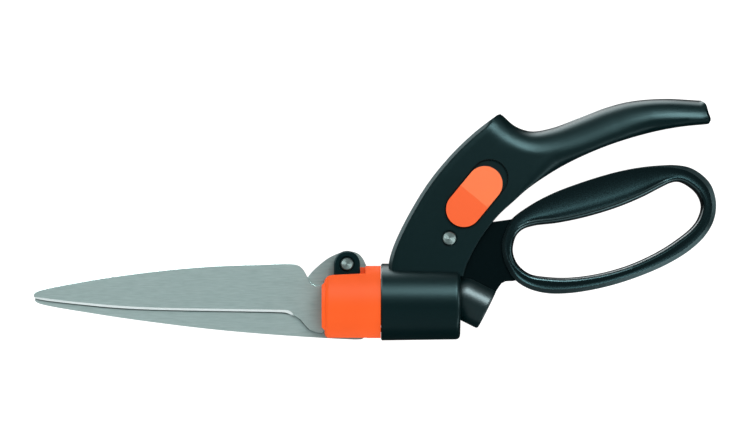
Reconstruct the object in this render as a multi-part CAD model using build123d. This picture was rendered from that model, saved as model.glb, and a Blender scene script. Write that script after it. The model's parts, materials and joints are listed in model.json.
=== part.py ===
from build123d import *

import os
from math import atan2, cos, degrees, radians, sin

# Grass shears with a turning blade head, lying on one side as put down on a table.
# All pieces are drawn closed and locked in the tool's own plane: X runs along the barrel's
# axis from its front rim towards the grip, Y from the barrel up to the upper grip, and Z out
# of the tool's left side. The export moves them so that the barrel lies on the ground.

# Barrel
barrel_radius = 19.8
barrel_rear_radius = 19.3
barrel_length = 40.7
barrel_bore_radius = 16.7
front_wall = 6.0
journal_radius = 11.95
journal_fit = 0.05

# Handle
cheek_half = 11.3
cheek_bevel = 1.8
grip_rounding = 5.0
slot_half = 6.2
rivet = (35.0, 32.8)
rivet_radius = 2.6
rivet_head_radius = 3.4
rivet_recess_radius = 4.3
rivet_recess_depth = 1.0

# Squeeze lever
lever_half = 5.5
loop_half = 9.0
boss_radius = 8.0
lever_bush_radius = 4.6
knee_radius = 11.45
knee_end = (54.7, -3.5)
knee_tilt = -26.6
knee_straight = 13.0
horn_radius = 21.5
lever_swing = 15.0

# Linkage: the ball swings evenly to both sides of the point straight below the rivet
ball_arm = 32.94
ball_radius = 4.5
socket_radius = 4.9
rod_radius = 2.6
rod_fit = 0.05
stroke = 2 * ball_arm * sin(radians(lever_swing / 2))
ball_x = rivet[0] + stroke / 2
socket_y = rivet[1] - ball_arm * cos(radians(lever_swing / 2))

# Blades
blade_thickness = 2.0
blade_gap = 0.05
blade_pivot = (-17.5, 19.6)
pivot_radius = 2.5
eye_radius = 5.8
crank_x = blade_pivot[0] + stroke / 2
crank_pin_radius = 1.6
crank_slot_half = 1.75
fixed_pin_radius = 1.5
fixed_pin_places = [(-21.0, -10.5), (-13.0, -10.5)]
bevel_width = 1.35
bevel_depth = 1.7
cutting_edge = [
    (-47.9, -6.5),
    (-52.0, -5.9),
    (-113.8, -4.6),
    (-133.2, -3.8),
    (-155.0, -1.8),
    (-179.0, 1.65),
]

# Turning head
collar_radius = 18.6
collar_front = -30.4
collar_rear = -0.12
collar_wall = 2.2
collar_rounding = 2.4
front_lip_radius = 17.5
front_lip_depth = 1.4
front_lip_y = (-14.2, 10.2)
shelf_y = 14.8
shelf_slope = 1.0
shelf_corner = 3.6
shelf_thickness = 1.6
shelf_rear = -8.0
lug_front = -10.7
lug_top = 17.9
lug_half = 5.0
core_radius = 16.45
core_rear = -0.15
ear_radius = 6.7
ear_half = 7.5
blade_slot = (-blade_gap - blade_thickness, 2.5)
blade_slot_rear = -7.4
collar_slot = (blade_slot[0] - 0.2, blade_slot[1] + 0.2)
channel_radius = 6.0
spring_bore_radius = 8.0
spring_bore_front = -8.4
journal_rear = 21.0
rear_bush_length = 4.0
ring_groove_radius = 11.0
ring_width = 1.4

# Clicks of the turning head
click_count = 12
click_radius = 14.2
click_ball_radius = 1.4
click_ball_x = -0.75

# Lock
lock_low = (42.4, 47.7)
lock_high = (53.1, 60.7)
lock_radius = 9.1
lock_travel = 3.9
lock_tilt = 50.5
lock_bar_radius = 2.5
lock_recess_depth = 1.5
lock_proud = 2.7
lock_step = (lock_travel * cos(radians(lock_tilt)), lock_travel * sin(radians(lock_tilt)))
lock_middle = ((lock_low[0] + lock_high[0]) / 2, (lock_low[1] + lock_high[1]) / 2)

# The tool's plane to the ground: the middle of the length and of the width, on the barrel
blade_tip_x = -178.6
loop_end_x = 172.0
grip_top_y = 104.5
ground = (-(blade_tip_x + loop_end_x) / 2, -(grip_top_y - barrel_radius) / 2, barrel_radius)


def closed_face(*stretches):
    """A face inside a chain of stretches: one more point is a line, several are a smooth curve."""
    edges = []
    start = stretches[-1][-1]
    for points in stretches:
        run = [start, *points]
        edges.append(Line(*run) if len(run) == 2 else Spline(*run))
        start = points[-1]
    return make_face(edges)


def plate(face, low, high):
    return extrude(Pos(0, 0, low) * face, high - low, dir=(0, 0, 1))


def disc(centre, radius, low, high):
    return Pos(centre[0], centre[1], (low + high) / 2) * Cylinder(radius, high - low)


def bar(radius, low, high, y=0.0, z=0.0):
    """A round bar along X between low and high."""
    return Pos((low + high) / 2, y, z) * Rot(0, 90, 0) * Cylinder(radius, high - low)


def block(x, y, z):
    """A block between a pair of limits along each axis."""
    middle = Pos(sum(x) / 2, sum(y) / 2, sum(z) / 2)
    return middle * Box(x[1] - x[0], y[1] - y[0], z[1] - z[0])


def stadium(a, b, radius, low, high):
    """A flat bar with round ends about the points a and b."""
    along = Vector(b[0] - a[0], b[1] - a[1])
    placed = Pos((a[0] + b[0]) / 2, (a[1] + b[1]) / 2) * Rot(0, 0, degrees(atan2(along.Y, along.X)))
    return plate(placed * SlotCenterToCenter(along.length, 2 * radius), low, high)


def turned(*points):
    """A solid turned about the X axis from a closed outline of (x, radius) points."""
    return revolve(make_face(Polyline(*points, close=True)), Axis.X)


def coil(radius, wire, turns, low, high, y=0.0):
    """A compression spring along X between low and high."""
    height = high - low - 2 * wire
    path = Helix(height / turns, height, radius)
    section = Plane(origin=path @ 0, z_dir=path % 0) * Circle(wire)
    return Pos(low + wire, y, 0) * Rot(0, 90, 0) * sweep(section, path, is_frenet=True)


def side_edges(solid, half):
    """The edges round the flat sides of a plate that lie half away from its middle."""
    return [edge for edge in solid.edges() if abs(abs(edge.center().Z) - half) < 0.01]


def chamfer_top(shape, width):
    """The shape with the round rim of its highest face cut off."""
    rims = shape.edges().filter_by(GeomType.CIRCLE).group_by(Axis.Z)[-1]
    return chamfer(rims, width)


def on_both_sides(shape):
    return shape + mirror(shape, Plane.XY)


# The handle: barrel, cheeks and upper grip in one moulding


def cheeks():
    outline = closed_face(
        [(3.6, 19.3)],
        [(9.0, 34.6), (22.4, 58.5), (34.7, 74.2), (47.1, 86.4), (59.4, 96.3)],
        [(61.2, 96.9), (63.2, 95.6)],
        [(67.7, 91.3), (77.8, 87.8)],
        [(77.0, 59.6)],
        [(67.7, 51.5), (61.3, 45.7)],
        [(50.0, 31.1), (42.2, 15.5)],
        [(40.0, 12.0)],
        [(3.6, 12.0)],
    )
    body = plate(outline, -cheek_half, cheek_half)
    front_edges = [edge for edge in side_edges(body, cheek_half) if edge.length > 90]
    return chamfer(front_edges, cheek_bevel)


def upper_grip():
    outline = closed_face(
        [(63.2, 95.6)],
        [(67.7, 91.3), (77.8, 87.8), (88.3, 89.6), (113.0, 99.0), (137.7, 104.2), (162.4, 103.8)],
        [(166.6, 102.0)],
        [(169.2, 94.5)],
        [(167.0, 91.4)],
        [(150.0, 89.5), (125.3, 83.4), (100.6, 73.7), (84.2, 64.6), (67.7, 51.5)],
        [(52.0, 62.0)],
    )
    grip = plate(outline, -cheek_half, cheek_half)
    long_edges = [edge for edge in side_edges(grip, cheek_half) if edge.length > 60]
    return fillet(long_edges, grip_rounding)


def barrel_blank():
    blank = turned((0, 0), (0, barrel_radius), (barrel_length, barrel_rear_radius), (barrel_length, 0))
    rear_rim = blank.edges().filter_by(GeomType.CIRCLE).sort_by(Axis.X)[-1]
    return fillet(rear_rim, 2.0)


def lever_space():
    """Where the lever swings between the cheeks, and round the bar of the lock."""
    outline = closed_face(
        [(22.0, 10.0)],
        [(22.0, 20.0)],
        [(25.0, 36.0)],
        [(33.0, 52.0)],
        [(44.0, 62.5)],
        [(55.0, 63.5)],
        [(62.0, 52.5)],
        [(70.0, 40.0)],
        [(62.0, 15.0)],
        [(50.0, 5.0)],
        [(22.0, 5.0)],
    )
    return plate(outline, -slot_half, slot_half)


def lock_openings():
    """The shallow bed of a lock button and the slot that its bar slides in."""
    high = (lock_high[0] + lock_step[0], lock_high[1] + lock_step[1])
    bed = stadium(lock_low, high, lock_radius + 0.2, cheek_half - lock_recess_depth, cheek_half + 1)
    bar_end = (lock_middle[0] + lock_step[0], lock_middle[1] + lock_step[1])
    slot = stadium(lock_middle, bar_end, lock_bar_radius + 0.3, slot_half - 1, cheek_half)
    return on_both_sides(bed + slot)


def click_pockets():
    """Round pockets in the front wall, one at each click of the turning head."""
    pocket = bar(click_ball_radius + 0.1, -1, 0.7, y=-click_radius)
    return [Rot(360 / click_count * i, 0, 0) * pocket for i in range(click_count)]


def main_handle():
    body = cheeks() + upper_grip() + barrel_blank()
    body -= bar(barrel_bore_radius, front_wall, barrel_length + 6)
    body -= bar(journal_radius + journal_fit, -1, front_wall + 1)
    body -= lever_space()
    body -= disc(rivet, rivet_radius, -cheek_half, cheek_half)
    body -= on_both_sides(
        disc(rivet, rivet_recess_radius, cheek_half - rivet_recess_depth, cheek_half + 1)
    )
    body -= lock_openings()
    for pocket in click_pockets():
        body -= pocket
    return body


def lever_pivot_pin():
    shank = disc(rivet, rivet_radius, -cheek_half + 1, cheek_half - 1)
    head = disc(rivet, rivet_head_radius, cheek_half - rivet_recess_depth, cheek_half + 0.2)
    head = chamfer_top(head, 0.4)
    return shank + on_both_sides(head)


def lever_pivot_washers():
    ring = disc(rivet, 6.0, lever_half + 0.05, slot_half - 0.05)
    return on_both_sides(ring - disc(rivet, rivet_radius, 0, cheek_half))


# The squeeze lever


def knee_point(along, across=0.0):
    """A point of the knee, measured from the middle of its flat end, back along its axis."""
    tilt = radians(knee_tilt)
    return (
        knee_end[0] - along * cos(tilt) - across * sin(tilt),
        knee_end[1] - along * sin(tilt) + across * cos(tilt),
    )


def knee():
    centre = knee_point(knee_straight)
    middle = knee_point(knee_straight / 2)
    drum = Pos(*middle) * Rot(0, 0, knee_tilt) * Rot(0, 90, 0) * Cylinder(knee_radius, knee_straight)
    rim = drum.edges().filter_by(GeomType.CIRCLE).sort_by(Axis.X)[-1]
    return fillet(rim, 1.2) + Pos(*centre) * Sphere(knee_radius)


def finger_loop():
    outer = closed_face(
        [
            (75.9, 49.1), (88.3, 55.8), (104.7, 62.0), (121.2, 66.9), (137.7, 69.7), (150.0, 70.4),
            (158.3, 69.2), (166.5, 64.0), (171.2, 56.0), (172.0, 49.5), (170.6, 41.4), (166.5, 34.3),
            (158.3, 26.5), (145.9, 19.0), (129.4, 12.1), (113.0, 7.3), (96.5, 4.6), (84.2, 4.7),
            (75.9, 6.6), (71.0, 9.3),
        ],
        [(64.5, 22.0), (66.9, 42.8)],
    )
    inner = closed_face(
        [
            (70.0, 35.0), (75.9, 38.5), (88.3, 40.4), (104.7, 43.6), (121.2, 48.6), (133.6, 53.7),
            (145.9, 60.0), (152.0, 61.8), (158.3, 59.5), (164.4, 52.0), (164.5, 46.5), (162.4, 41.5),
            (154.2, 33.6), (141.8, 25.4), (129.4, 19.6), (113.0, 14.7), (96.5, 12.5), (84.2, 13.0),
            (75.9, 14.6), (70.0, 19.5), (67.7, 27.5),
        ],
    )
    ring = plate(outer, -loop_half, loop_half)
    return ring - plate(inner, -loop_half - 1, loop_half + 1)


def lever_web():
    """The flat plate between the cheeks that joins the loop, the rivet and the knee."""
    outline = closed_face(
        [(28.5, 28.0)],
        [(33.5, 8.0)],
        [(46.0, 0.0)],
        [(58.0, 4.0)],
        [(60.3, 7.4)],
        [(63.5, 10.4), (68.4, 10.5)],
        [(72.0, 15.0)],
        [(68.0, 27.0)],
        [(70.0, 35.5)],
        [(70.0, 44.5)],
        [(66.7, 42.4)],
        [(58.0, 41.3)],
        [(42.0, 38.0)],
    )
    horn = closed_face([(46.4, 50.9)], [(39.4, 53.8)], [(28.5, 34.0)], [(44.0, 32.0)])
    horn_limit = disc(rivet, horn_radius, -lever_half, lever_half)
    web = plate(outline, -lever_half, lever_half) + disc(rivet, boss_radius, -lever_half, lever_half)
    return web + (plate(horn, -lever_half, lever_half) & horn_limit)


def rod_mouth():
    """The opening of the knee for the rod, wide enough for the whole swing of the lever."""
    depth = 16.0
    mouth = Cone(rod_radius + 0.3, rod_radius + 0.3 + 0.16 * depth, depth)
    placed = Pos(ball_x, socket_y, 0) * Rot(0, 0, lever_swing / 2) * Rot(0, -90, 0)
    return placed * Pos(0, 0, depth / 2) * mouth


def plug_bar(radius, near, far):
    """A bar along the knee's axis, through the socket, from near to far behind the ball."""
    placed = Pos(ball_x, socket_y, 0) * Rot(0, 0, knee_tilt) * Rot(0, 90, 0)
    return placed * Pos(0, 0, (near + far) / 2) * Cylinder(radius, far - near)


def squeeze_lever():
    lever = finger_loop() + lever_web() + knee()
    lever -= disc(rivet, lever_bush_radius, -lever_half - 1, lever_half + 1)
    lever -= Pos(ball_x, socket_y, 0) * Sphere(socket_radius)
    lever -= rod_mouth()
    lever -= plug_bar(socket_radius, 0, 20)
    return lever


def ball_retainer_plug():
    end = 15.3
    plug = plug_bar(socket_radius - 0.05, 0.5, end)
    return plug - Pos(ball_x, socket_y, 0) * Sphere(socket_radius + 0.1)


def lever_pivot_bush():
    sleeve = disc(rivet, lever_bush_radius, -lever_half, lever_half)
    return sleeve - disc(rivet, rivet_radius + 0.05, -lever_half, lever_half)


# The pull rod between the lever and the moving blade


def pull_rod():
    tab = block((-17.0, 0.5), (-2.8, 2.8), (2.7, 5.0))
    tab -= disc((crank_x, 0), crank_pin_radius, 0, 6)
    flange = bar(7.5, 0.5, 2.0)
    shaft = bar(rod_radius, 2.0, ball_x)
    return tab + flange + shaft + Pos(ball_x, 0, 0) * Sphere(ball_radius)


def crank_pin():
    return disc((crank_x, 0), crank_pin_radius, 0.15, 5.0)


def return_spring():
    return coil(5.5, 0.6, 7, 2.05, journal_rear - rear_bush_length - 0.05)


# The turning head


def ears(half):
    """The D-shaped ears on both sides of the blades, which hold their pivot."""
    round_top = disc(blade_pivot, ear_radius, -half, half)
    width = (blade_pivot[0] - ear_radius, blade_pivot[0] + ear_radius)
    foot = block(width, (8, blade_pivot[1]), (-half, half))
    return round_top + foot


def core_body(radius, front, rear, top):
    """The inside of the head, cut down to a flat in front of its rear ring."""
    body = bar(radius, front, rear)
    return body - block((front - 1, shelf_rear), (top, radius + 5), (-radius - 5, radius + 5))


def collar_blank():
    """The outside of the collar: a drum with a round front rim and a sloping shelf on top."""
    drum_front = collar_front + front_lip_depth
    drum = bar(collar_radius, drum_front, collar_rear)
    front_rim = drum.edges().filter_by(GeomType.CIRCLE).sort_by(Axis.X)[0]
    drum = fillet(front_rim, collar_rounding)
    shelf_front = shelf_y - shelf_slope
    above = Polyline(
        (shelf_rear, shelf_y),
        (drum_front, shelf_front),
        (drum_front, collar_radius + 5),
        (shelf_rear, collar_radius + 5),
        close=True,
    )
    drum -= plate(make_face(above), -collar_radius - 5, collar_radius + 5)
    square = block(
        (drum_front - 1, drum_front + shelf_corner),
        (shelf_front - shelf_corner, shelf_front + 5),
        (-collar_radius, collar_radius),
    )
    corner = (drum_front + shelf_corner, shelf_front - shelf_corner)
    drum -= square - disc(corner, shelf_corner, -collar_radius - 1, collar_radius + 1)
    return drum + front_lip()


def front_lip():
    """The lower step in front of the drum, with its corners cut off."""
    low, high = front_lip_y
    step = front_lip_depth
    outline = Polyline(
        (collar_front + 2 * step, high),
        (collar_front + step, high),
        (collar_front, high - step),
        (collar_front, low + step),
        (collar_front + step, low),
        (collar_front + 2 * step, low),
        close=True,
    )
    lip = plate(make_face(outline), -collar_radius, collar_radius)
    return lip & bar(front_lip_radius, collar_front, collar_front + 2 * step)


def head_core():
    core = core_body(core_radius, collar_front + collar_wall + 0.05, core_rear, shelf_y - shelf_thickness - 0.05)
    core += chamfer(side_edges(ears(ear_half), ear_half), 0.6)
    core += bar(journal_radius, core_rear - 1, journal_rear)
    core -= block((collar_front, blade_slot_rear), (-25, 30), blade_slot)
    core -= bar(channel_radius, collar_front, spring_bore_front)
    core -= bar(spring_bore_radius, spring_bore_front, journal_rear + 1)
    groove = bar(journal_radius + 1, front_wall + 0.1, front_wall + 0.1 + ring_width)
    core -= groove - bar(ring_groove_radius, front_wall, front_wall + 2 + ring_width)
    core -= disc(blade_pivot, pivot_radius, -ear_half - 1, ear_half + 1)
    core -= disc(blade_pivot, 4.2, 5.9, ear_half + 1)
    core -= hex_bar(8.1, -ear_half - 1, -4.3)
    core -= bar(click_ball_radius + 0.1, -7.0, 1, y=-click_radius)
    for x, y in fixed_pin_places:
        core -= disc((x, y), fixed_pin_radius, -9.0, 0)
    return core


def head_collar():
    collar = collar_blank()
    collar -= core_body(core_radius + 0.05, collar_front + collar_wall, 1, shelf_y - shelf_thickness)
    lug_foot = shelf_y - shelf_thickness + 0.1
    lug = block((lug_front, shelf_rear + 0.5), (lug_foot, lug_top), (collar_slot[1] - 0.5, lug_half))
    collar += on_both_sides(lug - bar(core_radius + 0.05, shelf_rear - 0.05, 0))
    collar -= block((collar_front - 1, blade_slot_rear + 0.1), (-25, 30), collar_slot)
    collar -= bar(channel_radius + 1, collar_front - 1, -20)
    return collar - (ears(ear_half + 0.1) & block((-25, -10.5), (5, 30), (-20, 20)))


def head_retaining_ring():
    ring = bar(14.5, front_wall + 0.15, front_wall + 0.05 + ring_width)
    ring -= bar(ring_groove_radius + 0.05, front_wall, front_wall + 2 + ring_width)
    return ring - block((front_wall, front_wall + 2 + ring_width), (0, 20), (-6, 6))


def head_rear_bush():
    bush = bar(spring_bore_radius, journal_rear - rear_bush_length, journal_rear)
    return bush - bar(rod_radius + rod_fit, journal_rear - 6, journal_rear + 1)


def detent_ball():
    return Pos(click_ball_x, -click_radius, 0) * Sphere(click_ball_radius)


def detent_spring():
    return coil(0.95, 0.25, 5, -6.95, click_ball_x - click_ball_radius - 0.05, y=-click_radius)


def hex_bar(across_flats, low, high):
    """A six-sided bar about the blades' pivot."""
    face = Pos(*blade_pivot) * RegularPolygon(across_flats / 2, 6, major_radius=False)
    return plate(face, low, high)


def blade_pivot_screw():
    head = chamfer_top(disc(blade_pivot, 3.3, 5.9, 7.6), 0.5)
    return head + disc(blade_pivot, pivot_radius, -7.2, 5.9)


def blade_pivot_nut():
    return hex_bar(8.0, -7.3, -4.3) - disc(blade_pivot, pivot_radius, -8, 0)


def blade_spring_washer():
    washer = disc(blade_pivot, 5.0, blade_gap + blade_thickness + 0.05, blade_slot[1])
    return washer - disc(blade_pivot, pivot_radius + 0.1, 0, 5)


# The blades


def ground_bevel():
    """What grinding takes off the moving blade's outer face along its cutting edge."""
    face = blade_gap + blade_thickness
    sections = []
    for x, y in cutting_edge:
        outline = Polyline(
            (y + bevel_width, face),
            (y - bevel_width, face - 2 * bevel_depth),
            (y - bevel_width, face + 1),
            (y + bevel_width, face + 1),
            close=True,
        )
        sections.append(Plane(origin=(x, 0, 0), x_dir=(0, 1, 0), z_dir=(1, 0, 0)) * make_face(outline))
    return loft(sections, ruled=True)


def moving_blade():
    outline = closed_face(
        [(-178.6, 3.0), (-176.3, 5.75)],
        [(-154.7, 10.3), (-123.8, 14.9), (-92.9, 18.0), (-62.0, 19.3), (-46.4, 19.5)],
        [(-42.4, 18.4), (-40.0, 16.2), (-38.0, 12.6), (-36.1, 9.5), (-34.0, 8.4), (-31.0, 8.7)],
        [(-24.0, 13.8)],
        [(-23.2, 18.5)],
        [(blade_pivot[0], blade_pivot[1])],
        [(-11.8, 18.5)],
        [(-10.0, 8.0)],
        [(-9.4, -3.0)],
        [(-12.0, -5.6), (-17.5, -6.0)],
        [(-24.0, -11.0), (-30.7, -16.5)],
        [(-34.5, -15.9), (-39.0, -13.0), (-42.0, -9.8), (-46.0, -6.9), (-52.0, -5.9)],
        [(-113.8, -4.6)],
        [(-133.2, -3.8), (-155.0, -1.8), (-177.3, 1.4)],
    )
    blade = plate(outline, blade_gap, blade_gap + blade_thickness)
    blade -= ground_bevel()
    blade += disc(blade_pivot, eye_radius, blade_gap, blade_gap + blade_thickness)
    blade -= disc(blade_pivot, pivot_radius + 0.05, 0, 3)
    return blade - stadium(crank_slot_point(19.5), crank_slot_point(20.2), crank_slot_half, 0, 3)


def crank_slot_point(reach):
    """A point of the crank slot, which points at the blades' pivot."""
    down = Vector(crank_x - blade_pivot[0], -blade_pivot[1]).normalized()
    return (blade_pivot[0] + reach * down.X, blade_pivot[1] + reach * down.Y)


def fixed_blade():
    outline = closed_face(
        [(-178.2, 1.6)],
        [(-178.0, 0.4), (-176.3, -0.7)],
        [(-144.4, -6.5), (-113.5, -10.9), (-82.6, -14.5), (-51.7, -17.1), (-20.8, -19.0)],
        [(-11.5, -19.3)],
        [(-9.2, -18.9), (-8.7, -17.5)],
        [(-8.7, 11.0)],
        [(-7.7, 13.0)],
        [(-7.7, 19.0)],
        [(-9.4, 22.4), (-12.0, 25.0), (-17.5, 26.1), (-26.0, 23.2), (-33.6, 17.4), (-37.6, 13.0)],
        [(-43.0, 5.0), (-52.0, -1.0), (-66.0, -2.3)],
        [(-113.8, -1.8)],
        [(-133.2, -1.0), (-155.0, 0.0), (-176.5, 2.4)],
    )
    blade = plate(outline, blade_slot[0], -blade_gap)
    blade -= disc(blade_pivot, pivot_radius, -5, 0)
    for place in fixed_pin_places:
        blade -= disc(place, fixed_pin_radius, -5, 0)
    return blade


def fixed_blade_pins():
    return [disc(place, fixed_pin_radius, -9.0, -0.1) for place in fixed_pin_places]


# The lock


def lock_button():
    """A button with a straight ridge across its middle, which slopes to both ends."""
    foot = cheek_half - lock_recess_depth + 0.1
    button = stadium(lock_low, lock_high, lock_radius, foot, cheek_half + lock_proud)
    slopes = Polyline((-22, 0), (-22, 1.6), (0, lock_proud), (22, 1.6), (22, 0), close=True)
    roof = extrude(make_face(slopes), 12, both=True)
    roof = Pos(lock_middle[0], lock_middle[1], cheek_half) * Rot(0, 0, lock_tilt) * Rot(90, 0, 0) * roof
    lower = stadium(lock_low, lock_high, lock_radius, foot, cheek_half)
    return lower + (button & roof)


def lock_button_left():
    return lock_button() - disc(lock_middle, lock_bar_radius, 0, cheek_half)


def lock_button_right():
    return mirror(lock_button_left(), Plane.XY)


def lock_bar():
    return disc(lock_middle, lock_bar_radius, -cheek_half, cheek_half)


pieces = {
    "main_handle": main_handle,
    "lever_pivot_pin": lever_pivot_pin,
    "lever_pivot_washers": lever_pivot_washers,
    "squeeze_lever": squeeze_lever,
    "ball_retainer_plug": ball_retainer_plug,
    "lever_pivot_bush": lever_pivot_bush,
    "pull_rod": pull_rod,
    "crank_pin": crank_pin,
    "return_spring": return_spring,
    "head_core": head_core,
    "head_collar": head_collar,
    "head_retaining_ring": head_retaining_ring,
    "head_rear_bush": head_rear_bush,
    "detent_ball": detent_ball,
    "detent_spring": detent_spring,
    "blade_pivot_screw": blade_pivot_screw,
    "blade_pivot_nut": blade_pivot_nut,
    "blade_spring_washer": blade_spring_washer,
    "moving_blade": moving_blade,
    "fixed_blade": fixed_blade,
    "fixed_blade_pins": fixed_blade_pins,
    "lock_button_left": lock_button_left,
    "lock_button_right": lock_button_right,
    "lock_bar": lock_bar,
}

os.makedirs("parts", exist_ok=True)
for name, make in pieces.items():
    made = make()
    solids = made if isinstance(made, list) else made.solids()
    export_step(Pos(*ground) * Compound(solids), f"parts/{name}.step")
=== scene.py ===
import json
import math

import bmesh
import bpy
import numpy as np
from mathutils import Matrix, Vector


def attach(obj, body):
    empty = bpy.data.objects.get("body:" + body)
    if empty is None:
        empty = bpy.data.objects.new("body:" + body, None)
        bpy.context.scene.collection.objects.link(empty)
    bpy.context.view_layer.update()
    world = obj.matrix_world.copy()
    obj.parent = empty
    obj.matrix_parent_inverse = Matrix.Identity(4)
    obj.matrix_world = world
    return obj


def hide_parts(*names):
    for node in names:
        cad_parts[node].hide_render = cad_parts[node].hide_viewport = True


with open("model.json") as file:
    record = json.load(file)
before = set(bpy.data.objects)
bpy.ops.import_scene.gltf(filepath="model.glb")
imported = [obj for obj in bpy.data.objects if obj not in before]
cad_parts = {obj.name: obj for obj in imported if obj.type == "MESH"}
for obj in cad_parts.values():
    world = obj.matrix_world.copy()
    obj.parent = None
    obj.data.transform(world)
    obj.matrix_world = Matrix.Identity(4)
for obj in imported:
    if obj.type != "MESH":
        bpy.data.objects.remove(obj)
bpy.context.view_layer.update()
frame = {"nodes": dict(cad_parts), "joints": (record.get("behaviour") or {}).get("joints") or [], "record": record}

MM = 0.001
JOINTS = {joint["name"]: joint for joint in frame["joints"]}

# The tool's own plane, in millimetres: X along the barrel from its front rim to the grip,
# Y from the barrel up to the upper grip, Z out of the side that the camera sees.
TOOL = np.array(JOINTS["head_turn"]["pos_m"])


def tool_point(joint):
    """A hinge's place in the tool's plane, in millimetres."""
    return tuple((np.array(JOINTS[joint]["pos_m"]) - TOOL)[:2] / MM)


RIVET = tool_point("lever_squeeze")
BLADE_PIVOT = tool_point("blade_open")

# Handle, as the CAD has it
CHEEK_HALF = 11.3
BARREL_RADIUS = 19.8
BARREL_REAR_RADIUS = 19.3
BARREL_LENGTH = 40.7
BORE_RADIUS = 16.7
JOURNAL_HOLE = 12.0
FRONT_WALL = 6.0
LEVER_SPACE_HALF = 6.2
RIVET_HOLE = 2.6
RIVET_RECESS = 4.3
RIVET_RECESS_DEPTH = 1.0

# Lever, as the CAD has it
LEVER_HALF = 5.5
LEVER_HOLE = 4.6
LOOP_HALF = 9.0
KNEE_RADIUS = 11.45
KNEE_END = (54.7, -3.5)
KNEE_TILT = math.radians(-26.6)
KNEE_STRAIGHT = 13.0
BALL = (39.3, 0.14)
SOCKET_RADIUS = 4.9
PLUG_HOLE_LENGTH = 20.0
MOUTH_START = 2.9
MOUTH_END = 5.46
MOUTH_LENGTH = 16.0
MOUTH_TILT = math.radians(7.5)

# Lock, as the CAD has it
LOCK_LOW = (42.4, 47.7)
LOCK_HIGH = (53.1, 60.7)
LOCK_RADIUS = 9.1
LOCK_STEP = (2.48, 3.01)
LOCK_BED_DEPTH = 1.5
LOCK_BED_CLEARANCE = 0.2
LOCK_SLOT_RADIUS = 2.8
LOCK_SLOT_BOTTOM = 5.0
RIM_BREAK = 0.4

# The size in X and in Y of the lock button's box, each as measured along the button's own length
BUTTON_ALONG = (18.4, 24.1)

# Blades, as the CAD has them
BLADE_FACE = 2.05
BLADE_BACK = 0.05
MOVING_PIVOT_HOLE = 2.55
FIXED_PIVOT_HOLE = 2.5
CRANK = (4.3, -19.6)
CRANK_SLOT = (19.5, 20.2)
CRANK_SLOT_RADIUS = 1.75
DOWELS = [(-21.0, -10.5), (-13.0, -10.5)]
DOWEL_RADIUS = 1.5
BLADE_SHARP_ANGLE = math.radians(12)

# Where the blades' steel starts and stops getting darker, in metres along the row's X: slightly
# from the tip on, and then clearly towards the collar, as painted shade of the collar on the steel
TIP_START = -0.165
TIP_END = -0.05
ROOT_SHADE_START = -0.042
ROOT_SHADE_END = -0.022
TIP_SHARE = 0.93

# Where the upper grip's surface gets rougher, and where hands have worn it smooth again: the place
# along the row's X, over what length, and the share of the roughness past it
GRIP_ROUGH = (0.078, 0.02, 1.2)
GRIP_WORN = (0.125, 0.025, 0.72)

SHARP_ANGLE = math.radians(28)

# The radius that stands for the axis at the ends of a turned profile
ON_AXIS = 0.01

# How far a cutter starts before, or ends past, what it cuts
PAST = 1.0

# What tidying a mesh welds and flattens, in millimetres, and the most edges of a slit that it closes
WELD = 0.002
FLAT_EDGE = 0.001
SLIT_EDGES = 8


# Curves


def curve(points, count, closed=False, even=True):
    """A smooth curve through the points (centripetal Catmull-Rom), as count samples along it."""
    per_span = 24
    p = np.array(points, float)
    if closed:
        p = np.vstack([p[-1:], p, p[:2]])
    else:
        p = np.vstack([2 * p[:1] - p[1:2], p, 2 * p[-1:] - p[-2:-1]])
    fine = []
    steps = np.linspace(0, 1, per_span, endpoint=False)[:, None]
    for a, b, c, d in zip(p, p[1:], p[2:], p[3:]):
        before, here, after = (math.sqrt(max(np.linalg.norm(v), 1e-9)) for v in (b - a, c - b, d - c))
        leave = (c - b) + here * ((b - a) / before - (c - a) / (before + here))
        arrive = (c - b) + here * ((d - c) / after - (d - b) / (here + after))
        s2, s3 = steps**2, steps**3
        fine.append(
            (2 * s3 - 3 * s2 + 1) * b
            + (s3 - 2 * s2 + steps) * leave
            + (3 * s2 - 2 * s3) * c
            + (s3 - s2) * arrive
        )
    fine = np.vstack(fine + [p[-2:-1]])
    if even:
        length = np.concatenate([[0], np.cumsum(np.linalg.norm(np.diff(fine, axis=0), axis=1))])
    else:
        length = np.linspace(0, 1, len(fine))
    at = np.linspace(0, length[-1], count, endpoint=not closed)
    return np.column_stack([np.interp(at, length, fine[:, k]) for k in range(fine.shape[1])])


def away(points, line):
    """The distance of each point from a line of samples, and how far along the line it is, 0 to 1."""
    a, b = line[:-1], line[1:]
    along = b - a
    size = (along**2).sum(1)
    offset = points[:, None, :] - a[None]
    share = np.clip((offset * along[None]).sum(2) / size[None], 0, 1)
    gap = np.linalg.norm(offset - share[..., None] * along[None], axis=2)
    best = gap.argmin(1)
    rows = np.arange(len(points))
    return gap[rows, best], (best + share[rows, best]) / len(a)


def mix(a, b, share):
    """From a to b, by a share of the way."""
    return a + (b - a) * share


def smooth(share):
    """A share of the way that starts and ends gently."""
    share = np.clip(share, 0, 1)
    return share * share * (3 - 2 * share)


def rounding(distance, radius, low, high):
    """The height of a rounded edge, from low at the edge to high a radius inside it."""
    reach = 1 - np.clip(distance / radius, 0, 1)
    return low + (high - low) * np.sqrt(1 - reach**2)


# Meshes


def in_row(points):
    """Points of the tool's plane, in millimetres, as places in the row frame, in metres."""
    return np.asarray(points, float) * MM + TOOL


def mesh_object(name, points, faces):
    mesh = bpy.data.meshes.new(name)
    mesh.from_pydata([tuple(p) for p in in_row(points)], [], [tuple(int(i) for i in f) for f in faces])
    made = bpy.data.objects.new(name, mesh)
    bpy.context.scene.collection.objects.link(made)
    tidy(made)
    return made


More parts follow.
